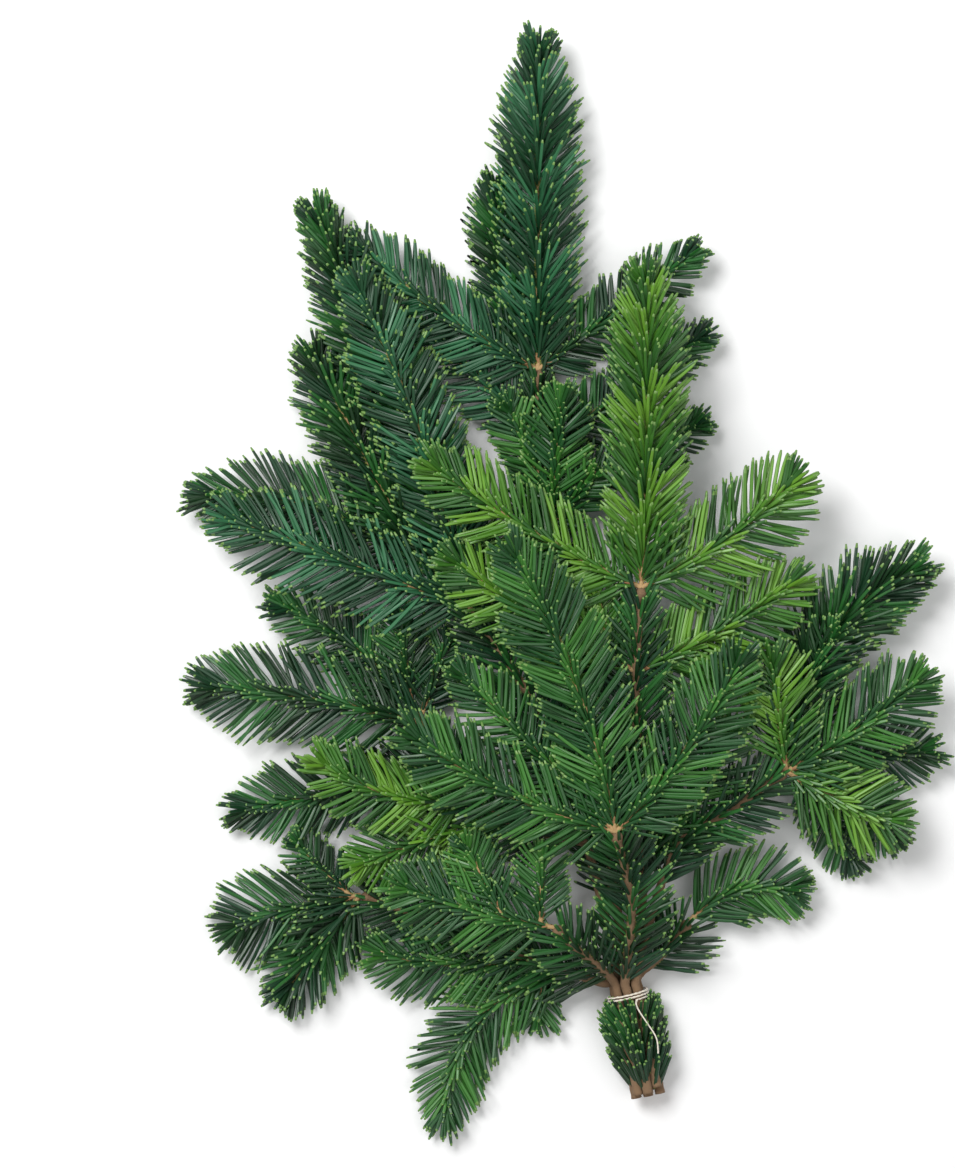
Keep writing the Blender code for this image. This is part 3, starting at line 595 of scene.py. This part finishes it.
def buds_at(axis, rng):
    """An end bud with two beside it."""
    ends = np.full(len(BUD_LEANS), axis.length)
    along, side, up = axis.frames(ends)
    lean = np.radians(BUD_LEANS)[:, None]
    ahead = np.cos(lean) * along + np.sin(lean) * side
    root = axis.at(ends) - BUD_SUNK * along
    length = np.array(BUD_LENGTHS) * rng.uniform(*BUD_RANGE, len(ends))
    face = square_to(up, ahead)
    no_bend = np.zeros_like(ahead)
    one_shade = np.zeros(len(ends), int)
    across = np.cross(ahead, face)
    return Blades(root, ahead, no_bend, across, face, length, np.array(BUD_WIDTHS), one_shade)


def scales_at(axis, rng):
    """The collar of old bud scales round a twig's root, their faces outward."""
    distances = SCALE_START + rng.uniform(0.0, SCALE_SPAN, SCALE_COUNT)
    rolls = GOLDEN_ANGLE * np.arange(SCALE_COUNT)
    lean = rng.uniform(*SCALE_LEANS, SCALE_COUNT)
    length = rng.uniform(*SCALE_LENGTHS, SCALE_COUNT)
    scales = blades_at(axis, distances, rolls, lean, length, rng)
    _, side, up = axis.frames(distances)
    face = square_to(outward(rolls, side, up), scales.ahead)
    width = np.full(SCALE_COUNT, SCALE_WIDTH)
    return scales._replace(face=face, across=np.cross(scales.ahead, face), width=width)


def blade_points(blades, form):
    """The points of every blade, as blades by stations by section by 3."""
    u = np.array(form.stations)
    spine = blades.root[:, None] + (u[:, None] * blades.length[:, None, None]) * blades.ahead[:, None]
    spine = spine + (u**2)[:, None] * blades.bend[:, None]
    section = np.array(form.section)
    x = np.array(form.widths)[:, None] * section[:, 0]
    y = np.array(form.heights)[:, None] * section[:, 1]
    half = blades.width[:, None, None, None] / 2
    points = spine[:, :, None] + half * x[None, :, :, None] * blades.across[:, None, None]
    return points + half * y[None, :, :, None] * blades.face[:, None, None]


def tube_points(axis, tube, radius_at):
    """The points of a tube round an axis, as 1 by rings by sides by 3."""
    distances = np.linspace(0.0, axis.length, max(3, round(axis.length / tube.step)) + 1)
    _, side, up = axis.frames(distances)
    angles = -np.arange(tube.sides) * 2 * math.pi / tube.sides
    round_it = np.cos(angles)[:, None] * side[:, None] + np.sin(angles)[:, None] * up[:, None]
    radii = radius_at(distances[:, None], angles[None])
    return (axis.at(distances)[:, None] + radii[..., None] * round_it)[None]


def bark_relief(axis, rng, depth):
    """A radius with leaf scars in crossing rows and shallow lengthwise cracks."""
    phase = rng.random() * 2 * math.pi

    def radius_at(distances, angles):
        scars = np.cos(SCAR_ROUND[0] * angles + SCAR_ALONG[0] * distances + phase)
        scars = scars * np.cos(SCAR_ROUND[1] * angles - SCAR_ALONG[1] * distances)
        cracks = np.cos(CRACK_ROUND * angles + CRACK_ALONG * distances + phase)
        return axis.radius(distances) * (1 + depth * (scars + CRACK_DEPTH * cracks))
    return radius_at


def knobbed(axis, relief):
    """The relief's radius, swollen into a knob and closed at the axis's end."""
    def radius_at(distances, angles):
        from_end = (axis.length - distances) / KNOB_RADIUS
        hump = np.exp(-KNOB_NARROWING * (from_end - KNOB_MIDDLE) ** 2)
        swollen = KNOB_SWELL * (KNOB_RADIUS - STEM_END_RADIUS) * hump
        closing = np.sqrt(1 - np.clip(1 - from_end, 0, KNOB_ROUNDING) ** 2)
        return (relief(distances, angles) + swollen) * closing
    return radius_at


def plain_radius(axis):
    """The axis's own radius, the same all round."""
    def radius_at(distances, angles):
        return axis.radius(distances) + np.zeros_like(angles)
    return radius_at


def swept_faces(shape, closed_root):
    """The corners of the side faces and of the end caps, for tubes by rings by sides."""
    index = np.arange(math.prod(shape)).reshape(shape)
    after = np.roll(index, -1, axis=2)
    quads = np.stack([index[:, :-1], after[:, :-1], after[:, 1:], index[:, 1:]], axis=-1)
    caps = [index[:, -1]]
    if closed_root:
        caps.append(index[:, 0, ::-1])
    return quads.reshape(-1, 4), np.concatenate(caps)


def swept_mesh(name, points, slots, cap_slots, closed_root=False):
    """A mesh of many tubes from their points, with a material index for each face and end cap."""
    quads, caps = swept_faces(points.shape[:3], closed_root)
    points = points.copy()
    points[..., 2] = np.maximum(points[..., 2], FLOOR_CLEAR)
    loops = np.concatenate([quads.reshape(-1), caps.reshape(-1)])
    quad_starts = np.arange(len(quads)) * 4
    cap_starts = quads.size + np.arange(len(caps)) * caps.shape[1]
    starts = np.concatenate([quad_starts, cap_starts])
    materials = np.concatenate([slots.reshape(-1), cap_slots])

    mesh = bpy.data.meshes.new(name)
    mesh.vertices.add(points.size // 3)
    mesh.vertices.foreach_set("co", (points * MM).reshape(-1).astype(np.float32))
    mesh.loops.add(len(loops))
    mesh.loops.foreach_set("vertex_index", loops.astype(np.int32))
    mesh.polygons.add(len(starts))
    mesh.polygons.foreach_set("loop_start", starts.astype(np.int32))
    mesh.polygons.foreach_set("material_index", materials.astype(np.int32))
    mesh.polygons.foreach_set("use_smooth", np.ones(len(starts), bool))
    mesh.update(calc_edges=True)
    mesh.validate()
    return mesh


def plain_slots(points):
    """Material 0 for each side face of the tubes."""
    tubes, rings, sides = points.shape[:3]
    return np.zeros((tubes, rings - 1, sides), int)


def needle_slots(blades, shades):
    """The material index of each side face of each needle."""
    sides = len(NEEDLE.section)
    slots = np.repeat(blades.shade[:, None, None] % shades, len(NEEDLE.stations) - 1, axis=1)
    slots = np.repeat(slots, sides, axis=2)
    slots[:, :, list(NEEDLE.under)] = shades + NEEDLE_PARTS.index("needle_underside")
    slots[:, -1, :] = shades + NEEDLE_PARTS.index("needle_tip")
    slots[:, 0, :] = shades + NEEDLE_PARTS.index("needle_foot")
    return slots


def new_material(name, finish):
    """A Principled material with a plain colour, uneven roughness and a fine relief."""
    material = bpy.data.materials.new(name)
    material.use_nodes = True
    tree = material.node_tree
    shader = tree.nodes["Principled BSDF"]
    shader.inputs["Base Color"].default_value = (*finish.colour, 1.0)
    shader.inputs["Coat Weight"].default_value = finish.coat
    shader.inputs["Coat Roughness"].default_value = COAT_ROUGHNESS
    shader.inputs["Sheen Weight"].default_value = finish.sheen
    noise = tree.nodes.new("ShaderNodeTexNoise")
    noise.inputs["Scale"].default_value = finish.bump_size
    noise.inputs["Detail"].default_value = NOISE_DETAIL
    spread = tree.nodes.new("ShaderNodeMapRange")
    spread.inputs["To Min"].default_value = finish.roughness - ROUGHNESS_SPREAD
    spread.inputs["To Max"].default_value = min(1.0, finish.roughness + ROUGHNESS_SPREAD)
    tree.links.new(noise.outputs["Fac"], spread.inputs["Value"])
    tree.links.new(spread.outputs["Result"], shader.inputs["Roughness"])
    if finish.bump:
        relief = tree.nodes.new("ShaderNodeBump")
        relief.inputs["Strength"].default_value = finish.bump
        relief.inputs["Distance"].default_value = RELIEF_DISTANCE
        tree.links.new(noise.outputs["Fac"], relief.inputs["Height"])
        tree.links.new(relief.outputs["Normal"], shader.inputs["Normal"])
    return material


@cache
def shared_material(name):
    return new_material(name, FINISHES[name])


def needle_materials(tint):
    """The tint's shades, then the underside, the tip and the foot, which all tints share."""
    shades = []
    for i, colour in enumerate(NEEDLE_SHADES[tint]):
        finish = Finish(colour, NEEDLE_ROUGHNESS, NEEDLE_BUMP, NEEDLE_BUMP_SIZE, NEEDLE_COAT)
        shades.append(new_material(f"needle_{tint}_{i}", finish))
    return shades + [shared_material(name) for name in NEEDLE_PARTS]


def make_piece(name, mesh, materials, replaced=()):
    """A piece of the scene that rides on the part and takes the place of the named nodes."""
    piece = bpy.data.objects.new(name, mesh)
    bpy.context.scene.collection.objects.link(piece)
    for material in materials:
        mesh.materials.append(material)
    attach(piece, "root")
    if replaced:
        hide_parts(*replaced)


def make_needles(name, blades, tint, replaced):
    shades = len(NEEDLE_SHADES[tint])
    tips = np.full(len(blades.length), shades + NEEDLE_PARTS.index("needle_tip"))
    mesh = swept_mesh(name, blade_points(blades, NEEDLE), needle_slots(blades, shades), tips)
    make_piece(name, mesh, needle_materials(tint), replaced)


def make_blades(name, blades, form, material):
    """Buds or scales, joined."""
    points = blade_points(blades, form)
    mesh = swept_mesh(name, points, plain_slots(points), np.zeros(len(points), int))
    make_piece(name, mesh, [shared_material(material)])


def merged(name, meshes):
    """One mesh from several that share their material slots."""
    objects = [bpy.data.objects.new(name, mesh) for mesh in meshes]
    for obj in objects:
        bpy.context.scene.collection.objects.link(obj)
    with bpy.context.temp_override(active_object=objects[0], selected_editable_objects=objects):
        bpy.ops.object.join()
    mesh = objects[0].data
    bpy.data.objects.remove(objects[0])
    return mesh


def make_twigs(axes, rng):
    """All the barked twigs, joined."""
    meshes = []
    for axis in axes:
        points = tube_points(axis, TWIG_TUBE, bark_relief(axis, rng, TWIG_RELIEF))
        slots = plain_slots(points)
        slots[:, :points.shape[1] // OLD_BARK_PART] = 1
        meshes.append(swept_mesh("twigs", points, slots, np.zeros(1, int)))
    materials = [shared_material("young_bark"), shared_material("older_bark")]
    make_piece("twigs", merged("twigs", meshes), materials)


def make_stem(name, axis, rng):
    """A stem with bark relief, swollen at its end, with its cut face at the foot."""
    relief = bark_relief(axis, rng, STEM_RELIEF)
    points = tube_points(axis, STEM_TUBE, knobbed(axis, relief))
    mesh = swept_mesh(name, points, plain_slots(points), np.array([0, 1]), closed_root=True)
    mesh.polygons[len(mesh.polygons) - 1].use_smooth = False
    materials = [shared_material("stem_bark"), shared_material("cut_wood")]
    make_piece(name.replace("stem", "branch"), mesh, materials, [name])


def make_string(axis):
    """Two thin plies twisted round the string's axis, turns and tail alike."""
    distances = np.linspace(0.0, axis.length, round(axis.length / PLY_TUBE.step))
    _, side, up = axis.frames(distances)
    meshes = []
    for phase in (0.0, math.pi):
        twist = PLY_TWIST * distances + phase
        out = np.cos(twist)[:, None] * side + np.sin(twist)[:, None] * up
        ply = Axis(axis.at(distances) + PLY_OFFSET * out, PLY_RADIUS, PLY_RADIUS)
        points = tube_points(ply, PLY_TUBE, plain_radius(ply))
        caps = np.zeros(2, int)
        meshes.append(swept_mesh("string_ply", points, plain_slots(points), caps, closed_root=True))
    mesh = merged("tied_string", meshes)
    make_piece("tied_string", mesh, [shared_material("cotton")], ["string"])


def mass_needles(mass, solids, rng):
    """The needles of a mass, without those that touch a stem or another twig."""
    blades = []
    for axis, twig in mass:
        grown = joined([
            needles_along(axis, COATS[twig.style], twig.reach, rng),
            rosette(axis, twig.reach, rng),
        ])
        blades.append(clear_of(grown, [solid for solid in solids if solid is not axis]))
    return joined(blades)


def make_foliage(stems, twigs, rng):
    """The needles of every branch and tint, each a piece that stands for its masses."""
    solids = [*stems.values(), *(axis for mass in twigs.values() for axis, _ in mass)]
    groups = {}
    for name, mass in twigs.items():
        shoot = SHOOTS[name]
        branch = shoot.stem.replace("_stem", "")
        member = (name, mass_needles(mass, solids, rng))
        groups.setdefault((branch, shoot.tint), []).append(member)
    for (branch, tint), members in groups.items():
        names, blades = zip(*members)
        make_needles(f"needles_{branch}_{tint}", joined(blades), tint, names)


def make_stem_needles(stems, rng):
    """The needles on the free stretch of every stem."""
    blades, replaced = [], []
    for name in stems:
        others = [other for key, other in stems.items() if key != name]
        grown = needles_along(sleeve_axis(name, stems), COATS["stem"], STEM_REACH, rng, 0.0)
        blades.append(clear_of(grown, others))
        replaced.append(name.replace("stem", "sleeve"))
    make_needles("needles_stems", joined(blades), "dark", replaced)


def make_foot_needles(string, rng):
    """The needles round the tied cut ends."""
    bundle = Axis(np.array([FOOT, TIE]), BUNDLE_RADIUS, BUNDLE_RADIUS)
    grown = needles_along(axis_between(bundle, *FOOT_SPAN), COATS["foot"], FOOT_REACH, rng, 0.0)
    make_needles("needles_foot", clear_of(grown, [string]), "dark", ["foot_needles"])


def make_floor():
    bpy.ops.mesh.primitive_plane_add(size=FLOOR_SIZE, location=(0.0, 0.0, 0.0))
    floor = bpy.context.object
    floor.name = "floor"
    material = bpy.data.materials.new("floor")
    material.use_nodes = True
    shader = material.node_tree.nodes["Principled BSDF"]
    shader.inputs["Base Color"].default_value = FLOOR_COLOUR
    shader.inputs["Roughness"].default_value = FLOOR_ROUGHNESS
    shader.inputs["Specular IOR Level"].default_value = FLOOR_SPECULAR
    floor.data.materials.append(material)


def make_lights():
    """Area lights that point at the part's middle, and a plain bright world."""
    for name, light in LIGHTS.items():
        data = bpy.data.lights.new(name, "AREA")
        data.size = light.size
        data.energy = light.energy
        lamp = bpy.data.objects.new(name, data)
        lamp.location = light.location
        lamp.rotation_euler = (-Vector(light.location)).to_track_quat("-Z", "Y").to_euler()
        bpy.context.scene.collection.objects.link(lamp)
    world = bpy.data.worlds.new("studio")
    bpy.context.scene.world = world
    world.use_nodes = True
    background = world.node_tree.nodes["Background"]
    background.inputs["Color"].default_value = WORLD_COLOUR
    background.inputs["Strength"].default_value = WORLD_STRENGTH
    bpy.context.scene.view_settings.view_transform = "Standard"


def make_camera():
    """Straight above the bunch, as in the photograph."""
    data = bpy.data.cameras.new("camera")
    data.lens = CAMERA_LENS
    data.sensor_fit = "VERTICAL"
    data.sensor_height = SENSOR_HEIGHT
    camera = bpy.data.objects.new("camera", data)
    camera.location = CAMERA_LOCATION
    bpy.context.scene.collection.objects.link(camera)
    bpy.context.scene.camera = camera


def main():
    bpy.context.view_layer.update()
    rng = np.random.default_rng(SEED)
    stems = stem_axes()
    twigs = mass_twigs(stems)
    string = string_axis()

    for name, axis in stems.items():
        make_stem(name, axis, rng)
    make_foliage(stems, twigs, rng)
    make_stem_needles(stems, rng)
    make_foot_needles(string, rng)
    axes = [axis for mass in twigs.values() for axis, _ in mass]
    make_twigs(axes, rng)
    make_blades("buds", joined([buds_at(axis, rng) for axis in axes]), BUD, "bud")
    make_blades("bud_scales", joined([scales_at(axis, rng) for axis in axes]), SCALE, "bud_scale")
    make_string(string)

    make_floor()
    make_lights()
    make_camera()
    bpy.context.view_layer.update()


main()
